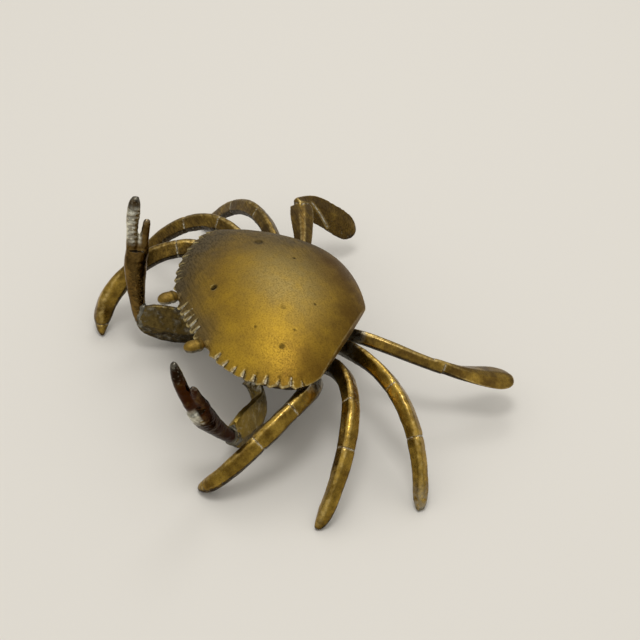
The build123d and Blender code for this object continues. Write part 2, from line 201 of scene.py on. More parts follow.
# %% [markdown]
# The crab stands on a plain pale sheet. A curved backdrop would hide the far edge, but a sheet
# this wide has its edge so far away that it doesn't matter. The colours go through the Standard
# view, because a filmic one would grey what was written in sRGB.

# %% Floor and view transform
FLOOR_WIDTH = 20.0

bpy.ops.mesh.primitive_plane_add(size=FLOOR_WIDTH, location=(0, 0, 0))
floor = bpy.context.object
floor.name = "studio_floor"
paper, paper_output = new_material("matte_paper_floor")
paper_shader = add_node(paper.node_tree, "ShaderNodeBsdfPrincipled",
                        {"Base Color": linear("#dedad2"), "Roughness": 0.9})
paper.node_tree.links.new(paper_shader.outputs["BSDF"], paper_output.inputs["Surface"])
floor.data.materials.append(paper)

bpy.context.scene.view_settings.view_transform = "Standard"
print("floor is", round(floor.dimensions.x), "m wide")

# %% [markdown]
# ## Working on a skin
# A casting's skin is a mesh of many small faces. Its details could be sculpted with brushes.
# Here they are pressed into it, or only marked on it, by working on its points as arrays, so
# that each stroke has a place and a size that can be read and changed. Three helpers read
# points in millimetres, read their normals, and write moved points back.

# %% Reading and moving a skin
def skin_points(piece):
    points = np.empty(len(piece.data.vertices) * 3)
    piece.data.vertices.foreach_get("co", points)
    return points.reshape(-1, 3) * 1000


def skin_normals(piece):
    normals = np.empty(len(piece.data.vertices) * 3)
    piece.data.vertex_normals.foreach_get("vector", normals)
    return normals.reshape(-1, 3)


def move_skin(piece, points):
    piece.data.vertices.foreach_set("co", points.ravel() / 1000)
    piece.data.update()


print("points of the drawn lid:", len(skin_points(frame["nodes"]["carapace_lid"])))

# %% [markdown]
# A mark is an amount from 0 to 1 on each point, stored under a name that the materials can
# read. It could be painted by hand as a vertex colour. An amount worked out from a place or a
# direction has a size that can be read, and a smooth ramp gives it a soft border.

# %% Marks and ramps
def mark(piece, name, amount):
    """Stores an amount from 0 to 1 on the points, keeping what was marked there before."""
    stored = piece.data.attributes.get(name)
    if stored is None:
        stored = piece.data.attributes.new(name, "FLOAT", "POINT")
    before = np.empty(len(amount), dtype=np.float32)
    stored.data.foreach_get("value", before)
    stored.data.foreach_set("value", np.maximum(before, np.clip(amount, 0, 1)).astype(np.float32))


def ramp(values, start, end):
    """0 before start, 1 after end, and smooth between, also where end is the lower one."""
    share = np.clip((values - start) / (end - start), 0, 1)
    return share * share * (3 - 2 * share)


print("a ramp from 0 to 1:", [round(float(v), 2) for v in ramp(np.linspace(0, 1, 5), 0, 1)])

# %% [markdown]
# Wear shows on ridges, and dirt stays in hollows, so a skin has to tell them apart. On a ridge
# a point lies outside the middle of its neighbours, and in a hollow inside it. A few rounds of
# averaging keep the small unevenness of the faces out of this.

# %% Ridges and hollows
def standing_out(piece, rounds):
    """How far each point stands out from its neighbours, in thousandths of a millimetre."""
    points = skin_points(piece)
    edges = np.empty(len(piece.data.edges) * 2, dtype=np.int64)
    piece.data.edges.foreach_get("vertices", edges)
    first, second = edges.reshape(-1, 2).T
    count = np.bincount(edges, minlength=len(points))

    def neighbours(values):
        total = np.bincount(first, values[second], len(points))
        total += np.bincount(second, values[first], len(points))
        return total / count

    middle = np.stack([neighbours(points[:, axis]) for axis in range(3)], axis=1)
    relief = ((points - middle) * skin_normals(piece)).sum(axis=1)
    for _ in range(rounds):
        relief = 0.5 * relief + 0.5 * neighbours(relief)
    return relief * 1000


print("ridges count above zero, hollows below")

# %% [markdown]
# ## From drawn solids to castings
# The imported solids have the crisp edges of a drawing, and sand-cast brass has none: molten
# metal rounds every corner, and the polishing wheel rounds it again. A Bevel modifier would
# round edges too, but it needs cleaner faces than the triangles of a drawn solid. A fine
# voxel remesh of a merged copy gives an even skin that can be softened all over. Modifiers
# could stay live in a stack, but the points are worked on between them, so each is applied at
# once. The last of them is a cloudy displacement, always inward, for the waviness of the sand.

# %% Modifiers and the wave of the sand
def select_only(piece):
    bpy.ops.object.select_all(action="DESELECT")
    piece.select_set(True)
    bpy.context.view_layer.objects.active = piece


def apply_modifier(piece, kind, **settings):
    select_only(piece)
    modifier = piece.modifiers.new(kind.lower(), kind)
    for key, value in settings.items():
        setattr(modifier, key, value)
    bpy.ops.object.modifier_apply(modifier=modifier.name)


def sand_wave(piece, height, grain):
    """Presses the skin inward in soft clouds, by a height and with a grain in millimetres."""
    sand = bpy.data.textures.new(piece.name + "_sand", "CLOUDS")
    sand.noise_scale = mm(grain)
    sand.noise_depth = 2
    apply_modifier(piece, "DISPLACE", texture=sand, strength=mm(height), mid_level=1.0,
                   texture_coords="LOCAL")


print("modifiers are applied one by one")

# %% [markdown]
# Every casting gets its skin in the same steps. Softening also fills the engraved grooves, so
# they are found before it and pressed in again after it. Last, the skin is attached to the body
# on which the drawn node rides, and the drawn node is hidden.

# %% Cast skin
slots = {row["node"]: row["material_slot"] for row in frame["record"]["subparts"]}


def cast_skin(node, face, softening, groove, wave, grain):
    """Copy of a CAD node with an even skin, rounded edges and the waviness of sand casting."""
    source = frame["nodes"][node]
    piece = bpy.data.objects.new(node + "_casting", source.data.copy())
    bpy.context.scene.collection.objects.link(piece)
    piece.data.materials.clear()
    select_only(piece)
    bpy.ops.object.mode_set(mode="EDIT")
    bpy.ops.mesh.select_all(action="SELECT")
    bpy.ops.mesh.remove_doubles(threshold=mm(0.005))
    bpy.ops.object.mode_set(mode="OBJECT")
    apply_modifier(piece, "REMESH", mode="VOXEL", voxel_size=mm(face))
    apply_modifier(piece, "SMOOTH", factor=0.5, iterations=1)
    hollow = ramp(standing_out(piece, 2), -6, -16)
    apply_modifier(piece, "SMOOTH", factor=0.5, iterations=softening)
    move_skin(piece, skin_points(piece) - skin_normals(piece) * (groove * hollow)[:, None])
    if groove:
        mark(piece, "groove", hollow)
    if wave:
        sand_wave(piece, wave, grain)
    select_only(piece)
    bpy.ops.object.shade_smooth()
    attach(piece, source["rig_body"])
    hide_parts(node)
    print(piece.name, "faces", len(piece.data.polygons))
    return piece


print("slots:", sorted(set(slots.values())))

# %% [markdown]
# The box has fairly crisp edges, because its lid has to fit, the arms are lumpy, and the legs
# and pincers are smooth and round. One softening for all would be simpler, and it would miss
# one or the other, so each kind of casting has a row of sizes. The pin has none and keeps its
# drawn mesh.

# %% Skins of all castings
# Face size, rounds of softening, groove depth, and height and grain of the sand wave, in mm
BOX_SKINS = {"carapace_lid": (0.42, 1, 0, 0, 0), "body_bowl": (0.45, 3, 0, 0.3, 3.0)}
LIMB_SKINS = {"front_leg": (0.27, 60, 0.35, 0.45, 6.0), "middle_leg": (0.27, 60, 0.35, 0.45, 6.0),
              "hind_leg": (0.27, 60, 0.35, 0.45, 6.0), "swimming_leg": (0.27, 35, 0.35, 0.15, 6.0),
              "claw_arm": (0.3, 8, 0, 0.6, 4.0), "pincer": (0.27, 40, 0, 0.35, 3.5)}
castings = {node: cast_skin(node, *skin) for node, skin in BOX_SKINS.items()}
for side in ("left", "right"):
    for limb, skin in LIMB_SKINS.items():
        castings[limb + "_" + side] = cast_skin(limb + "_" + side, *skin)

# %% [markdown]
# ## Blunt tips
# The legs are drawn slender toward their tips, and the real ones end blunt, about 4 mm thick.
# By hand this would be the work of an inflate brush. Here the skin moves outward across the
# limb and not along it, so a tip gets thicker and reaches no further, and the crab still
# stands on the same points. The front leg on the right is the exception: it is heavier below
# the knee, and only its last few millimetres run to a point.

# %% Thicker leg tips
# Two tenths of a millimetre inside the box of the drawn crab, which no skin may leave
SKIN_LIMITS = np.array(cad_box) * 1000 + ((0.2, 0.2, 0.2), (-0.2, -0.2, -0.2))
UPRIGHT = np.array((0.0, 0.0, 1.0))


def thicken(piece, axis, amount):
    """Moves the skin outward across an axis, by an amount in millimetres at each point."""
    normals = skin_normals(piece)
    sideways = normals - np.outer(normals @ axis, axis)
    move_skin(piece, np.clip(skin_points(piece) + sideways * amount[:, None], *SKIN_LIMITS))


walking_legs = [name for name in castings if name.startswith(("front", "middle", "hind"))]
for name in walking_legs:
    height = skin_points(castings[name])[:, 2]
    amount = ramp(height, 14.0, 3.0)
    if name == "front_leg_right":
        amount = ramp(height, 25.0, 15.0) * ramp(height, 0.0, 7.0)
    thicken(castings[name], UPRIGHT, amount)
    print(name, "thickened by up to", round(float(amount.max()), 2), "mm")

# %% [markdown]
# ## The carapace
# Its top carries a few blowholes, where gas left the metal, and a broad dent on its right.
# A bump map could fake them, but pressed holes also catch the light from the side and stay in
# an exported mesh. They are also marked dark inside.

# %% Blowholes in the carapace
SHELL_MIDDLE = np.array([1.1, -10.0])
# Out to the left, back, radius and depth, in millimetres
BLOWHOLES = ((-5.3, -22.4, 1.5, 0.8), (-6.9, 11.0, 0.7, 0.35), (32.9, -10.1, 1.2, 0.25),
             (19.4, 8.8, 0.6, 0.3), (21.3, -16.0, 0.6, 0.3), (28.5, -3.1, 0.6, 0.3),
             (-21.8, 2.2, 2.2, 0.3), (18.0, -3.6, 1.2, 0.15))

lid = castings["carapace_lid"]
points = skin_points(lid)
over_rim = ramp(skin_normals(lid)[:, 2], 0.2, 0.6)
for out, back, radius, depth in BLOWHOLES:
    away = np.hypot(points[:, 0] - SHELL_MIDDLE[0] - out,
                    points[:, 1] - SHELL_MIDDLE[1] - back) / radius
    points[:, 2] -= depth * over_rim * ramp(away, 1.0, 0.25)
    mark(lid, "soot_and_shade", over_rim * ramp(away, 1.15, 0.6) * min(1, 2.4 * depth))
move_skin(lid, points)
print("blowholes pressed:", len(BLOWHOLES))

# %% [markdown]
# Along the front and both flanks the founder cut a small chisel mark into each valley between
# two teeth. Each mark is a wedge that narrows toward the middle of the shell, and the chisel
# pushed up a burr beside it, which gets a painted highlight. Polishing paste has dried white on
# one wall of the mark, and the other wall is dark. A boolean could cut the wedges out, but it
# leaves ragged faces in so fine a skin, so points are lowered instead. No two strokes of a
# chisel are alike, so each is a little longer or shorter and a little turned.

# %% Places along an arc
def arc_places(start, middle, end, shares):
    """Places on the arc through three points, and the inward heading at each."""
    a, b, c = (np.array(p, float) for p in (start, middle, end))
    grid = 2 * np.array([b - a, c - a])
    centre = np.linalg.solve(grid, [b @ b - a @ a, c @ c - a @ a])
    first, last = (math.atan2(*(p - centre)[::-1]) for p in (a, c))
    angles = [first + share * (last - first) for share in shares]
    spokes = [np.array([math.cos(t), math.sin(t)]) for t in angles]
    radius = np.linalg.norm(a - centre)
    return [(centre + radius * spoke, -spoke) for spoke in spokes]


FRONT_CORNER, REAR_CORNER = (18.5, -32.8), (48.8, -3.0)
shares = [i / 10 for i in range(1, 10)]
left_marks = arc_places(FRONT_CORNER, (38.6, -24.0), REAR_CORNER, shares)
right_marks = [(place * (-1, 1), inward * (-1, 1)) for place, inward
               in arc_places(FRONT_CORNER, (36.9, -21.4), REAR_CORNER, shares)]
front_marks = [(np.array([x, -35.0]), np.array([0.0, 1.0])) for x in (-7.2, -3.6, 0.0, 3.6, 7.2)]
print("valleys between teeth:", len(left_marks + front_marks + right_marks))

# %% [markdown]
# One modelled mark could be copied to all valleys, but it would look stamped, so a function
# cuts each stroke with sizes of its own. It works in the stroke's own frame: how far each point
# lies along the stroke, and how far across it. The cut is deepest on the middle line, the burr
# stands just outside it, and the sign of the distance across tells one wall from the other.

# %% One stroke of the chisel
# How far a stroke turns, in radians, and how much longer or shorter it gets
TURN_SPREAD = 0.22
LENGTH_SPREAD = 0.25
BURR_HEIGHT = 0.15


def chisel(piece, place, inward, length, width, depth, paste, stroke):
    """Cuts one wedge at a place on the margin, with its burr and its painted highlight, its paste and
    its dark wall.
    """
    turn = TURN_SPREAD * math.sin(5 * stroke)
    reach = length * (1 + LENGTH_SPREAD * math.sin(3 * stroke))
    heading = np.array([inward[0] * math.cos(turn) - inward[1] * math.sin(turn),
                        inward[0] * math.sin(turn) + inward[1] * math.cos(turn)])
    points = skin_points(piece)
    offset = points[:, :2] - SHELL_MIDDLE - place
    along = offset @ heading
    across = offset @ np.array([-heading[1], heading[0]])
    half = np.maximum(width / 2 * np.clip(1.1 - along / reach, 0, 1), 0.01)
    upward = ramp(skin_normals(piece)[:, 2], 0.0, 0.4) * (along > -2.0) * (along < reach)
    cut = np.clip(1 - np.abs(across) / half, 0, 1) * upward
    burr = ramp(np.abs(across - half - 0.15), 0.35, 0.05) * upward
    points[:, 2] += BURR_HEIGHT * burr - depth * cut
    move_skin(piece, points)
    white_wall = ramp(across / half, -0.2, 0.3)
    dark_wall = ramp(np.abs(across + 0.5 * half), half + 0.35, 0.5 * half) * upward
    mark(piece, "paste", paste * white_wall * ramp(cut, 0.1, 0.4))
    # A painted highlight on the burr
    mark(piece, "wear_and_highlight", 0.5 * paste * burr)
    mark(piece, "soot_and_shade", 0.9 * dark_wall * (1 - white_wall * paste))


print("chisel ready")

# %% [markdown]
# The founder's hand wasn't the same everywhere. The marks in front are long and full of paste,
# those on the left flank are wide, the last three of them narrow, and those on the right flank
# are deep and almost clean. A row of sizes for each side says this in three lines.

# %% Strokes along the margin
# Length, width and depth of the marks in mm, and how white the paste in them is
for marks, length, width, depth, paste in ((left_marks, 2.2, 1.7, 0.6, 0.8),
                                           (front_marks, 3.0, 1.2, 0.6, 1.0),
                                           (right_marks, 2.2, 1.5, 0.9, 0.15)):
    for stroke, (place, inward) in enumerate(marks):
        narrower = 0.8 if marks is left_marks and stroke > 5 else 0.0
        chisel(lid, place, inward, length, width - narrower, depth, paste, stroke)
print("points with paste:", sum(entry.value > 0.5 for entry in lid.data.attributes["paste"].data))

# %% [markdown]
# The two eyes are cast with the lid. Each is a bulb on a short thick neck, with a crease in
# front of it that gets a painted shade. The neck could be swollen with a proportional scale by
# hand. Here its points are moved away from the axis of the eye, the more the nearer they are to
# the middle of the neck. Paste stayed under the bulb, and a painted shadow darkens it there.

# %% Necks of the eyes
# Axis of the eyes out from the middle, root and length toward the front, and height, in mm
EYE_OUT, EYE_ROOT, EYE_LENGTH, EYE_HEIGHT = 14.6, 31.5, 10.2, 36.7
EYE_REACH = 4.0
NECK_SWELLING = 0.3

points = skin_points(lid)
out = points[:, 0] - SHELL_MIDDLE[0]
eye_share = (SHELL_MIDDLE[1] - points[:, 1] - EYE_ROOT) / EYE_LENGTH
beside = np.abs(np.abs(out) - EYE_OUT)
on_eye = ramp(eye_share, 0.2, 0.35) * (beside < EYE_REACH)
neck = on_eye * ramp(np.abs(eye_share - 0.34), 0.2, 0.04)
crease = on_eye * ramp(np.abs(eye_share - 0.42), 0.07, 0.02)
points[:, 0] -= NECK_SWELLING * neck * (np.sign(out) * EYE_OUT - out)
points[:, 2] -= NECK_SWELLING * neck * (EYE_HEIGHT - points[:, 2])
move_skin(lid, points)
under_eye = on_eye * ramp(skin_normals(lid)[:, 2], 0.3, -0.2)
mark(lid, "paste", 0.35 * under_eye)
# A painted shade in the crease and a painted shadow under the bulb
mark(lid, "soot_and_shade", np.maximum(0.7 * crease, under_eye))
mark(lid, "dull_and_dark_reflection", 0.25 * on_eye)
print("points on the eyes:", int((on_eye > 0.5).sum()))

# %% [markdown]
# The crown of the carapace gets a painted sheen: a pale reflection of the soft lamp, which
# makes it less golden. Toward the right side the metal is dull and grey, and toward the back of
# the left side it is brown, partly from tarnish and partly as a painted dark reflection of the
# surroundings. A painted texture could show this. Marks on the points need no image, and both
# grow with the distance from a place a little in front of the crown. The underside is marked
# brown and a little darker.

# %% Where the carapace is grey or brown
HALF_WIDTH, HALF_DEPTH = 50.0, 36.0

points = skin_points(lid)
out = (points[:, 0] - SHELL_MIDDLE[0]) / HALF_WIDTH
back = (points[:, 1] - SHELL_MIDDLE[1]) / HALF_DEPTH
rim_share = np.hypot(out - 0.12, back + 0.2)
# Grey on the right and brown at the back left: partly tarnish, partly a painted dark reflection
mark(lid, "dull_and_dark_reflection", (1 - on_eye) * ramp(rim_share, 0.35, 1.0) * ramp(out + 0.35 * back, 0.35, -0.25))
mark(lid, "brown", (1 - on_eye) * ramp(rim_share, 0.35, 1.1) * ramp(out + 0.9 * back, -0.1, 0.7))
# A painted sheen on the crown, standing in for the pale reflection of the soft lamp
mark(lid, "painted_sheen", ramp(np.hypot(out - 0.05, back - 0.15), 0.75, 0.1))
underside = ramp(skin_normals(lid)[:, 2], 0.0, -0.5)
mark(lid, "brown", underside)
mark(lid, "soot_and_shade", 0.35 * underside)
print("points near the rim:", int((rim_share > 0.8).sum()))

# %% [markdown]
# ## The pincers
# The fingers end blunt, as the legs do, and the long finger of the right pincer has raised
# rings, rubbed silvery. Rings could be modelled one by one, but a wave in the skin along the
# finger runs softly into it, as cast ones do. It needs the height of each point along the
# pincer, and how far it lies to the long finger's side. The left pincer kept its dark patina,
# and the one paler patch at the root of its fingers is a painted highlight. On both, the tips of
# the fingers are black, and the ledge at their root gets a painted shade that takes the
# highlight off its flat top.

# %% Rings, rubbed patches, a painted highlight and painted shade on the pincers
# Heel of the pincer, direction along it, and direction toward the long finger
PINCERS = {"left": ((43.95, -43.58, 14.0), (0.130, -0.419, 0.899), (-0.060, -0.908, -0.415)),
           "right": ((-31.33, -53.66, 14.0), (-0.399, 0.245, 0.884), (-0.185, -0.965, 0.184))}
RING_PITCH = 1.9
RING_DEPTH = 0.1
TIP_THICKENING = {"left": 0.5, "right": 0.9}

for side, (heel, along, across) in PINCERS.items():
    pincer = castings["pincer_" + side]
    points = skin_points(pincer)
    height = (points - heel) @ np.array(along)
    thicken(pincer, np.array(along), TIP_THICKENING[side] * ramp(height, 33.0, 43.0))
    points = skin_points(pincer)
    aside = (points - heel) @ np.array(across)
    between = 2.2 - height / 40
    finger = (ramp(height, 28.5, 31.5) * ramp(height, 46.0, 42.0)
              * ramp(aside, between, between + 1.4))
    wave = 0.5 - 0.5 * np.cos(2 * math.pi * height / RING_PITCH)
    if side == "right":
        move_skin(pincer, points - skin_normals(pincer) * (RING_DEPTH * finger * wave)[:, None])
        mark(pincer, "wear_and_highlight", finger * (1 - 0.35 * wave))
    else:
        # A painted highlight: the one paler patch on the left pincer
        mark(pincer, "wear_and_highlight", 0.7 * ramp(np.abs(height - 25.0), 5.0, 2.0) * ramp(aside, 3.2, 4.4))
        mark(pincer, "brown", np.ones(len(height)))
    # Black finger tips, and a painted shade over the ledge that takes off its highlight
    palm_top = ramp(skin_normals(pincer) @ along, 0.2, 0.6) * ramp(np.abs(height - 28.0), 5.0, 3.0)
    mark(pincer, "soot_and_shade", np.maximum(0.8 * ramp(height, 41.0, 45.0), palm_top))
    print(side, "finger points", int((finger > 0.5).sum()))

# %% [markdown]
# ## Wear, dirt, painted highlights and painted shade from the shape itself
# Polish reaches the edges that stand out. The Pointiness of the Geometry node would find them
# at once, but only one render engine knows it. How far a point stands out from its neighbours
# says the same and can be stored on the skin. On the legs and the bowl only the edges that face
# up are made bright, partly as wear and partly as a painted highlight along the ridges of the
# legs. The lower sides of the limbs are darkened by their normals: partly the rough sole that was
# never polished, and partly a painted shade on the sides turned away from the light. The legs on
# the right are marked dull except at their lower ends, and on the front one everything below the
# knee is left bright.

# %% Edges and undersides
# Relief, in thousandths of a millimetre, where the wear of an edge starts and where it is full; on the
# legs it is also a painted highlight
EDGE_RELIEF = {"shell": (14, 40), "bowl": (16, 40), "arm": (6, 16), "pincer": (8, 20), "leg": (3, 11)}
# How far a skin faces up, from 1 to -1, where soot and painted shade start and where they are full
SOOT_AND_SHADE_FACING = {"bowl": (0.1, -0.4), "arm": (0.1, -0.4), "pincer": (-0.2, -0.7), "leg": (0.5, -0.1)}
for name, piece in castings.items():
    kind = slots[name]
    relief = standing_out(piece, 3)
    edge = ramp(relief, *EDGE_RELIEF[kind])
    facing_up = skin_normals(piece)[:, 2]
    print(name, "relief from", round(relief.min()), "to", round(relief.max()))
    if kind == "shell":
        mark(piece, "wear_and_highlight", 0.8 * (1 - on_eye) * edge)
        continue
    # Edges facing up get wear and, on the legs, a painted highlight along the ridge
    polish_and_highlight = 0.15 if kind in ("arm", "pincer") else 0.55 * ramp(facing_up, 0.2, 0.8)
    mark(piece, "wear_and_highlight", polish_and_highlight * edge)
    # Darker lower sides: the rough sole, and a painted shade where the skin turns from the light
    mark(piece, "soot_and_shade", ramp(facing_up, *SOOT_AND_SHADE_FACING[kind]))
    if name.endswith("leg_right"):
        height = skin_points(piece)[:, 2]
        bright_below = 24.0 if name == "front_leg_right" else 2.0
        mark(piece, "dull_and_dark_reflection", 0.75 * ramp(height, bright_below - 8, bright_below + 8))

# %% [markdown]
# A few castings differ from their neighbours. A pale groove crosses the blade of the right
# swimming leg, the lower end of the left hind leg is silvery, both blades are brown, and the
# left arm gets a painted sheen, so that it looks more brightly lit than the right one. Each could
# have a finish of its own, but marks on the skin let the shared finishes show the difference.

# %% Marks of single castings
# Corners of the pale groove, in millimetres
BLADE_GROOVE = ((-53.6, 28.6, 31.6), (-52.1, 31.4, 26.6), (-51.0, 34.4, 19.3))


def distance_to_line(points, corners):
    """Distance of each point to a line through some corners."""
    nearest = np.full(len(points), np.inf)
    for start, end in zip(np.array(corners[:-1]), np.array(corners[1:])):
        run = end - start
        share = np.clip((points - start) @ run / (run @ run), 0, 1)
        away = points - start - share[:, None] * run
        nearest = np.minimum(nearest, np.linalg.norm(away, axis=1))
    return nearest


paddle = castings["swimming_leg_right"]
from_groove = distance_to_line(skin_points(paddle), BLADE_GROOVE)
mark(paddle, "groove", ramp(from_groove, 0.45, 0.1))
mark(paddle, "wear_and_highlight", 0.3 * ramp(np.abs(from_groove - 0.6), 0.4, 0.1))
silvered_leg = castings["hind_leg_left"]
mark(silvered_leg, "solder", 0.45 * ramp(skin_points(silvered_leg)[:, 2], 12.0, 3.0))
# The sheen on the left arm is painted light, so that the arm looks more brightly lit
for name, tone, amount in (("swimming_leg_left", "brown", 0.6),
                           ("swimming_leg_right", "brown", 0.3),
                           ("claw_arm_left", "painted_sheen", 0.7)):
    mark(castings[name], tone, np.full(len(castings[name].data.vertices), amount))
print("points in the pale groove:", int((from_groove < 0.3).sum()))

# %% [markdown]
# Each leg and arm is joined to the bowl with silver solder, and each pincer to its arm. The
# flux left the roots dark and rough for about a centimetre, and the solder ran a few
# millimetres up them and stayed pale, farthest on the two rear legs at the left. Both marks
# are made from the distance to the bowl, which a search tree finds fast.

# %% Dark roots and solder runs
# Distance from the bowl, in millimetres, where solder or soot starts and where it is full
LONG_RUN, SHORT_RUN, SOOTY_ROOT = (9.0, 6.0), (5.0, 1.5), (14.0, 5.0)


def search_tree(pieces):
    """A tree of the skin points of some pieces, in which the nearest one is found fast."""
    targets = np.concatenate([skin_points(piece) for piece in pieces])
    tree = KDTree(len(targets))
    for index, target in enumerate(targets.tolist()):
        tree.insert(target, index)
    tree.balance()
    return tree


def nearness(points, tree):
    """Distance of each point to the nearest one in a tree."""
    return np.array([tree.find(point)[2] for point in points.tolist()])


bowl = castings["body_bowl"]
bowl_tree = search_tree([bowl])
limbs = [piece for name, piece in castings.items() if "leg" in name or "arm" in name]
pincers = [castings["pincer_left"], castings["pincer_right"]]
for piece in limbs:
    gap = nearness(skin_points(piece), bowl_tree)
    ran_far = piece.name.startswith(("hind_leg_left", "swimming_leg_left"))
    mark(piece, "solder", 0.75 * ramp(gap, *LONG_RUN) if ran_far else ramp(gap, *SHORT_RUN))
    not_on_top = ramp(skin_normals(piece)[:, 2], 0.9, 0.2)
    mark(piece, "soot_and_shade", 0.8 * ramp(gap, *SOOTY_ROOT) * not_on_top)
print("limbs soldered to the bowl:", len(limbs))

# %% [markdown]
# In each corner between two castings the solder set as a small rounded bead. A bead could be
# drawn as a curve along each seam, but a skin round all the soldered castings together already
# bridges those corners, so it is made first.

# %% One skin round the soldered castings
BEAD_FACE = mm(0.5)

bpy.ops.object.select_all(action="DESELECT")
for source in [bowl] + limbs + pincers:
    part = bpy.data.objects.new("solder_part", source.data.copy())
    bpy.context.scene.collection.objects.link(part)
    part.select_set(True)
bpy.context.view_layer.objects.active = part
bpy.ops.object.join()
beads = bpy.context.view_layer.objects.active
beads.name = "solder_beads"
apply_modifier(beads, "REMESH", mode="VOXEL", voxel_size=BEAD_FACE)
apply_modifier(beads, "SMOOTH", factor=0.5, iterations=8)
print("points in the skin round all:", len(beads.data.vertices))

# %% [markdown]
# Only the points of that skin close to two castings are solder. A boolean intersection would
# find what the castings share, and solder lies beside that, so distances are compared instead.
# The beads are lifted a little, and their border is sunk, so that they run out into the
# castings. Inside the bowl there is no solder, which the direction of the normals tells.

# %% Where the solder sits
BEAD_REACH = 3.2
HEEL_REACH = 12.0
BEAD_LIFT = 0.7
BORDER_SINK = 0.3

points = skin_points(beads)
normals = skin_normals(beads)
to_bowl = nearness(points, bowl_tree)
to_heel = np.min([np.linalg.norm(points - row[0], axis=1) for row in PINCERS.values()], axis=0)
corner = (to_bowl < BEAD_REACH) | (to_heel < HEEL_REACH)
# Distance to the bowl, to the limbs and to the pincers, left at 9 where no corner is near
gaps = np.full((3, len(points)), 9.0)
gaps[0] = to_bowl
gaps[1, corner] = nearness(points[corner], search_tree(limbs))
gaps[2, corner] = nearness(points[corner], search_tree(pincers))
seam = ramp(np.sort(gaps, axis=0)[1], BEAD_REACH, 0.8)
facing_in = (normals[:, :2] * (points[:, :2] - SHELL_MIDDLE)).sum(axis=1) < 0
seam[facing_in & (gaps[0] < 0.6) & (gaps[1] > 0.6)] = 0
move_skin(beads, points + normals * (BEAD_LIFT * seam - BORDER_SINK)[:, None])
print("points on the beads:", int((seam > 0).sum()))

# %% [markdown]
# A Mask modifier could hide the rest of the skin. It is deleted instead, because nothing needs
# it any more. What stays gets the waviness of solder and a thickness, so that it is closed, as
# the castings are.

# %% Beads alone
select_only(beads)
bpy.ops.object.mode_set(mode="EDIT")
bpy.ops.mesh.select_mode(type="VERT")
bpy.ops.mesh.select_all(action="DESELECT")
bpy.ops.object.mode_set(mode="OBJECT")
beads.data.vertices.foreach_set("select", seam == 0)
bpy.ops.object.mode_set(mode="EDIT")
bpy.ops.mesh.delete(type="VERT")
bpy.ops.object.mode_set(mode="OBJECT")
sand_wave(beads, 0.5, 1.6)
apply_modifier(beads, "SOLIDIFY", thickness=mm(0.8), offset=-1.0)
select_only(beads)
bpy.ops.object.shade_smooth()
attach(beads, "base")
print("faces in the solder beads:", len(beads.data.polygons))

# %% [markdown]
# ## Finishes
# All the metal is one brass. What differs is how each casting was worked: the carapace was
# brushed and polished, the legs only on their upper facets, the arms not at all, and the
# pincers were left dark. Each finish could be a tree of its own, but one recipe with other
# tones keeps them related, as they are on the real crab. It starts with patterns. Their sizes
# are real ones, and grit and brush lines, which are finer on the crab, are drawn as coarse as
# they need to be to show.

# %% Patterns of tarnish, grit and brushing
BRUSH_LINE = mm(0.6)
BRUSH_STRETCH = 0.06
# The Mapping node turns after it has stretched, so this only picks another piece of the
# pattern, and the lines still run from side to side
PATTERN_TURN = math.radians(23.7)
DENT_SIZE = mm(3.2)


def brass_patterns(tree, blotch, grit):
    """Noise at the sizes of blotches, of grit and its coarser crumbs, of dents and brush lines."""
    place = add_node(tree, "ShaderNodeTexCoord").outputs["Object"]
    patterns = {}
    for name, size, detail in (("blotches", blotch, 5.0), ("grain", grit, 4.0),
                               ("crumbs", grit * 2.4, 3.0), ("dents", DENT_SIZE, 2.0)):
        patterns[name] = add_node(tree, "ShaderNodeTexNoise",
                                  {"Scale": 1 / size, "Detail": detail, "Roughness": 0.62},
                                  {"Vector": place}).outputs["Fac"]
    lines = add_node(tree, "ShaderNodeMapping",
                     {"Rotation": (0, 0, PATTERN_TURN),
                      "Scale": (BRUSH_STRETCH / BRUSH_LINE, 1 / BRUSH_LINE, 1 / BRUSH_LINE)},
                     {"Vector": place}).outputs["Vector"]
    patterns["brushed"] = add_node(tree, "ShaderNodeTexNoise", {"Scale": 1.0, "Detail": 3.0},
                                   {"Vector": lines}).outputs["Fac"]
    return patterns


print("brush lines are", round(BRUSH_LINE / BRUSH_STRETCH * 1000), "mm long")

# %% [markdown]
# A mark on the skin has a soft border, and real tarnish has a ragged one. A mark is therefore
# multiplied by a pattern before it says how much of a tone shows. The pale deposits are the
# largest of four such shares: paste in chisel marks, dust on soot, paste in grooves, and a
# chalky bloom that follows the blotches alone.

# %% Ragged shares and pale deposits
def ragged(tree, amount, pattern, low, high, least, most):
    """An amount times a pattern, whose values from low to high count as least to most."""
    share = add_node(tree, "ShaderNodeMapRange",
                     {"From Min": low, "From Max": high, "To Min": least, "To Max": most},
                     {"Value": pattern}).outputs["Result"]
    return add_node(tree, "ShaderNodeMath", {"operation": "MULTIPLY", "use_clamp": True},
                    {0: amount, 1: share}).outputs["Value"]


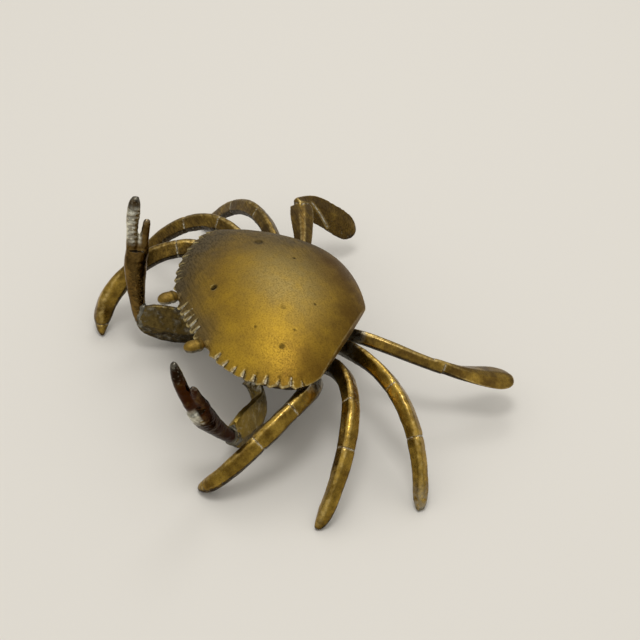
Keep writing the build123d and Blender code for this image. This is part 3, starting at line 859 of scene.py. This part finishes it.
def pale_deposits(tree, marks, patterns, specks, chalk):
    """How much of the metal is covered by dried paste, dust or chalky bloom."""
    grain, crumbs = patterns["grain"], patterns["crumbs"]
    bloom = add_node(tree, "ShaderNodeMapRange",
                     {"From Min": 0.5, "From Max": 0.68, "To Min": 0.0, "To Max": chalk},
                     {"Value": patterns["blotches"]}).outputs["Result"]
    covered = ragged(tree, bloom, crumbs, 0.42, 0.6, 0.2, 1.0)
    for share in (ragged(tree, marks["paste"], crumbs, 0.36, 0.5, 0.45, 1.0),
                  ragged(tree, marks["soot_and_shade"], grain, 0.58, 0.72, 0.0, specks),
                  ragged(tree, marks["groove"], crumbs, 0.44, 0.56, 0.1, 0.8)):
        covered = add_node(tree, "ShaderNodeMath", {"operation": "MAXIMUM", "use_clamp": True},
                           {0: covered, 1: share}).outputs["Value"]
    return covered


print("deposits are mixed from paste, dust and bloom")

# %% [markdown]
# The colour is built up in layers, mostly in the order in which the metal got it: first light
# and tarnished brass in blotches, then the broad marks of hands and weather together with the
# painted sheen and painted dark reflections, then grit and brush lines, and on top soot and
# painted shade, bright edges and painted highlights, solder and the pale deposits. A colour
# ramp over one noise would be shorter, but layers keep each cause apart.

# %% Tone of the brass
PASTE = "#cfc9b4"
SOLDER = "#a8a597"


def brass_tone(tree, tones, marks, patterns, mottle, soot_and_shade, deposits):
    """The colour of the metal, mixed layer by layer."""
    blotches, crumbs = patterns["blotches"], patterns["crumbs"]
    tarnish = add_node(tree, "ShaderNodeMapRange", {"From Min": 0.36, "From Max": 0.66},
                       {"Value": blotches}).outputs["Result"]
    tone = add_node(tree, "ShaderNodeMix",
                    {"data_type": "RGBA", 6: linear(tones["light"]), 7: linear(tones["tarnished"])},
                    {"Factor": tarnish}).outputs[2]
    gritty = add_node(tree, "ShaderNodeMapRange",
                      {"From Min": 0.46, "From Max": 0.72, "To Min": 0.0, "To Max": mottle},
                      {"Value": patterns["grain"]}).outputs["Result"]
    layers = [(tones[kind], ragged(tree, marks[kind], blotches, 0.3, 0.7, 0.55, 1.45))
              for kind in ("painted_sheen", "dull_and_dark_reflection", "brown")]
    layers += [(tones["cast"], gritty),
               (tones["cast"], ragged(tree, marks["dull_and_dark_reflection"], patterns["brushed"], 0.42, 0.64, 0.0, 0.7)),
               (tones["cast"], soot_and_shade),
               (tones["wear_and_highlight"], ragged(tree, marks["wear_and_highlight"], crumbs, 0.35, 0.6, 1.2, 0.4)),
               (SOLDER, ragged(tree, marks["solder"], crumbs, 0.38, 0.55, 0.0, 1.0)),
               (PASTE, deposits)]
    for colour, share in layers:
        tone = add_node(tree, "ShaderNodeMix", {"data_type": "RGBA", 7: linear(colour)},
                        {"Factor": share, 6: tone}).outputs[2]
    return tone


print("paste in linear light:", [round(c, 3) for c in linear(PASTE)])

# %% [markdown]
# Shine is broken up as well. Grain makes the metal rougher or smoother from spot to spot, and
# the marks of soot, tarnish and painted shade make it duller. Brush lines, dents and crumbs bend
# the light as bumps. They could be displaced geometry, but lines and crumbs are finer than the
# faces of the skin, and the dents are so shallow that only their shading shows.

# %% Shine and bumps
def brass_gloss(tree, patterns, roughness, soot_and_shade, dull_and_dark_reflection):
    """Roughness that wanders with the grain and rises on the marks of soot, tarnish and painted shade.
    """
    duller = add_node(tree, "ShaderNodeMath", {"operation": "MAXIMUM", "use_clamp": True},
                      {0: soot_and_shade, 1: dull_and_dark_reflection}).outputs["Value"]
    added = add_node(tree, "ShaderNodeMapRange", {"To Min": 0.0, "To Max": 0.16},
                     {"Value": duller}).outputs["Result"]
    polish = add_node(tree, "ShaderNodeMapRange",
                      {"From Min": 0.3, "From Max": 0.7,
                       "To Min": roughness - 0.06, "To Max": roughness + 0.08},
                      {"Value": patterns["grain"]}).outputs["Result"]
    return add_node(tree, "ShaderNodeMath", {"operation": "ADD", "use_clamp": True},
                    {0: polish, 1: added}).outputs["Value"]


def brass_bumps(tree, patterns, brush, dents, relief):
    """Normals bent by brush lines, dents and crumbs, of the given heights."""
    links = {}
    for pattern, strength, height in (("brushed", 0.5, brush), ("dents", 0.7, dents),
                                      ("crumbs", 0.6, relief)):
        links["Height"] = patterns[pattern]
        bump = add_node(tree, "ShaderNodeBump", {"Strength": strength, "Distance": height}, links)
        links["Normal"] = bump.outputs["Normal"]
    return links["Normal"]


print("bumps are laid in three layers")

# %% [markdown]
# The recipe puts these together. Paste and dust are no metal. A second shader could be mixed
# in for them, but where they lie in specks it does as well to take the metallic value down.
# IOR stays at its default, as it should for a metal.

# %% The brass recipe
MARKS = ("painted_sheen", "dull_and_dark_reflection", "brown", "soot_and_shade", "wear_and_highlight", "solder", "groove", "paste")


def brass(name, tones, blotch, grit, roughness, relief,
          mottle=0.3, specks=0.5, chalk=0.0, dents=0.0, brush=0.0):
    """A brass finish.

    Blotch and grit are the sizes of patterns, and relief, dents and brush the heights of bumps.
    Mottle, specks and chalk say how much grit, dust on soot and chalky bloom show.
    """
    material, output = new_material(name)
    tree = material.node_tree
    patterns = brass_patterns(tree, blotch, grit)
    marks = {kind: add_node(tree, "ShaderNodeAttribute", {"attribute_name": kind}).outputs["Fac"]
             for kind in MARKS}
    soot_and_shade = ragged(tree, marks["soot_and_shade"], patterns["crumbs"], 0.3, 0.6, 1.3, 0.75)
    deposits = pale_deposits(tree, marks, patterns, specks, chalk)
    metallic = add_node(tree, "ShaderNodeMapRange", {"To Min": 1.0, "To Max": 0.15},
                        {"Value": deposits}).outputs["Result"]
    shader = add_node(tree, "ShaderNodeBsdfPrincipled", None,
                      {"Base Color": brass_tone(tree, tones, marks, patterns, mottle, soot_and_shade, deposits),
                       "Metallic": metallic,
                       "Roughness": brass_gloss(tree, patterns, roughness, soot_and_shade, marks["dull_and_dark_reflection"]),
                       "Normal": brass_bumps(tree, patterns, brush, dents, relief)})
    tree.links.new(shader.outputs["BSDF"], output.inputs["Surface"])
    return material


print("marks that a finish reads:", MARKS)

# %% [markdown]
# ### The box
# The carapace was brushed from side to side and polished, and hands have rubbed it since.
# Such brass has a broad soft shine that fine lines break; its pale crown is a painted sheen, and
# its darker rim is partly a painted dark reflection. The bowl was left as it came from the
# sand, so it is brown and rough, and pale where it is handled. Typical roughness is 0.3 to 0.5
# for brushed brass and more for raw castings.

# %% Finishes of the box
finishes = {}

# Brushed and worn by hands: an even olive gold with a painted sheen on the crown, browner toward the
# rim, partly as a painted dark reflection
finishes["shell"] = brass(
    "brushed_polished_brass",
    dict(light="#aa882c", tarnished="#8e702b", painted_sheen="#8f7a44", dull_and_dark_reflection="#6d5f45",
         brown="#664a19", cast="#33280f", wear_and_highlight="#d9c68c"),
    blotch=mm(12.0), grit=mm(0.6), roughness=0.48, relief=mm(0.02),
    mottle=0.38, specks=0.12, brush=mm(0.07))

# Left as it came from the sand: brown, rough, pale where it is handled
finishes["bowl"] = brass(
    "sand_cast_brass",
    dict(light="#7a6434", tarnished="#5c4a25", painted_sheen="#7a6434", dull_and_dark_reflection="#5a4820",
         brown="#4c3714", cast="#3b2e16", wear_and_highlight="#a08a52"),
    blotch=mm(7.0), grit=mm(0.7), roughness=0.55, relief=mm(0.12), chalk=0.15)
print("box finishes:", finishes["shell"].name, "and", finishes["bowl"].name)

# %% [markdown]
# ### The limbs
# A polishing wheel reached only the upper facets of the legs, which shine like gold above a
# black speckled sole; the brightest gold along their ridges is a painted highlight, and part of
# the black is a painted shade. The arms were never polished. The pincers have a dark patina with
# a smooth shine, rubbed through where they stick out.

# %% Finishes of the limbs
# Polished on a wheel on the upper facets only: gold crown with a painted highlight on its ridges,
# black speckled sole that is partly a painted shade
finishes["leg"] = brass(
    "wheel_polished_brass",
    dict(light="#b5933e", tarnished="#6f5520", painted_sheen="#b08f3c", dull_and_dark_reflection="#665029",
         brown="#5b4522", cast="#2a1f0c", wear_and_highlight="#efd28a"),
    blotch=mm(6.0), grit=mm(0.7), roughness=0.28, relief=mm(0.05), mottle=0.4, dents=mm(0.18))

# Never polished: dark olive with chalky patches, and a painted sheen that makes the left arm look more
# brightly lit
finishes["arm"] = brass(
    "tarnished_rough_brass",
    dict(light="#7a673a", tarnished="#46391c", painted_sheen="#a88c3c", dull_and_dark_reflection="#453619",
         brown="#3a2b14", cast="#241b0b", wear_and_highlight="#857445"),
    blotch=mm(4.0), grit=mm(0.6), roughness=0.42, relief=mm(0.1), chalk=0.4, dents=mm(0.35))

# Dark patina rubbed through to pale metal on the rings, and the same pale tone as a painted highlight
# on the left pincer
finishes["pincer"] = brass(
    "dark_patina_brass",
    dict(light="#7a6032", tarnished="#4f3a1b", painted_sheen="#5b4322", dull_and_dark_reflection="#4a3417",
         brown="#351905", cast="#1a1208", wear_and_highlight="#e2dfcc"),
    blotch=mm(5.0), grit=mm(0.9), roughness=0.19, relief=mm(0.04), mottle=0.4, dents=mm(0.35))
print("limb finishes:", [finishes[kind].name for kind in ("leg", "arm", "pincer")])

# %% [markdown]
# ### Solder and pin
# The solder beads are pale lumps in burnt flux, and the pin of the hinge was turned on a
# lathe, so it is plain and smooth.

# %% Finishes of solder and pin
# Silver solder that ran over burnt flux: pale lumps in black
finishes["seam"] = brass(
    "silver_solder_over_burnt_flux",
    dict(light="#8f8b7c", tarnished="#37301f", painted_sheen="#8f8b7c", dull_and_dark_reflection="#4a4330",
         brown="#37301f", cast="#241e12", wear_and_highlight="#c9c6b8"),
    blotch=mm(2.5), grit=mm(0.6), roughness=0.4, relief=mm(0.12), mottle=0.5, dents=mm(0.2))

# Turned on a lathe and greased: plain and smooth
finishes["pin"] = brass(
    "turned_brass",
    dict(light="#a08640", tarnished="#7a6128", painted_sheen="#a08640", dull_and_dark_reflection="#776645",
         brown="#5b4522", cast="#2a1f0c", wear_and_highlight="#d8bb6c"),
    blotch=mm(5.0), grit=mm(0.5), roughness=0.35, relief=mm(0.02))
print("other finishes:", finishes["seam"].name, "and", finishes["pin"].name)

# %% [markdown]
# Every casting gets the finish of its own slot. This could be clicked together piece by piece,
# but a loop forgets none. The pin keeps its drawn mesh and gets only the material, because a
# turned pin has the crisp form of its drawing.

# %% Give each piece its finish
beads.data.materials.clear()
beads.data.materials.append(finishes["seam"])
for node, piece in castings.items():
    piece.data.materials.append(finishes[slots[node]])
pin = frame["nodes"]["hinge_pin"]
pin.data.materials.clear()
pin.data.materials.append(finishes["pin"])
print("materials given out:", sorted(material.name for material in finishes.values()))
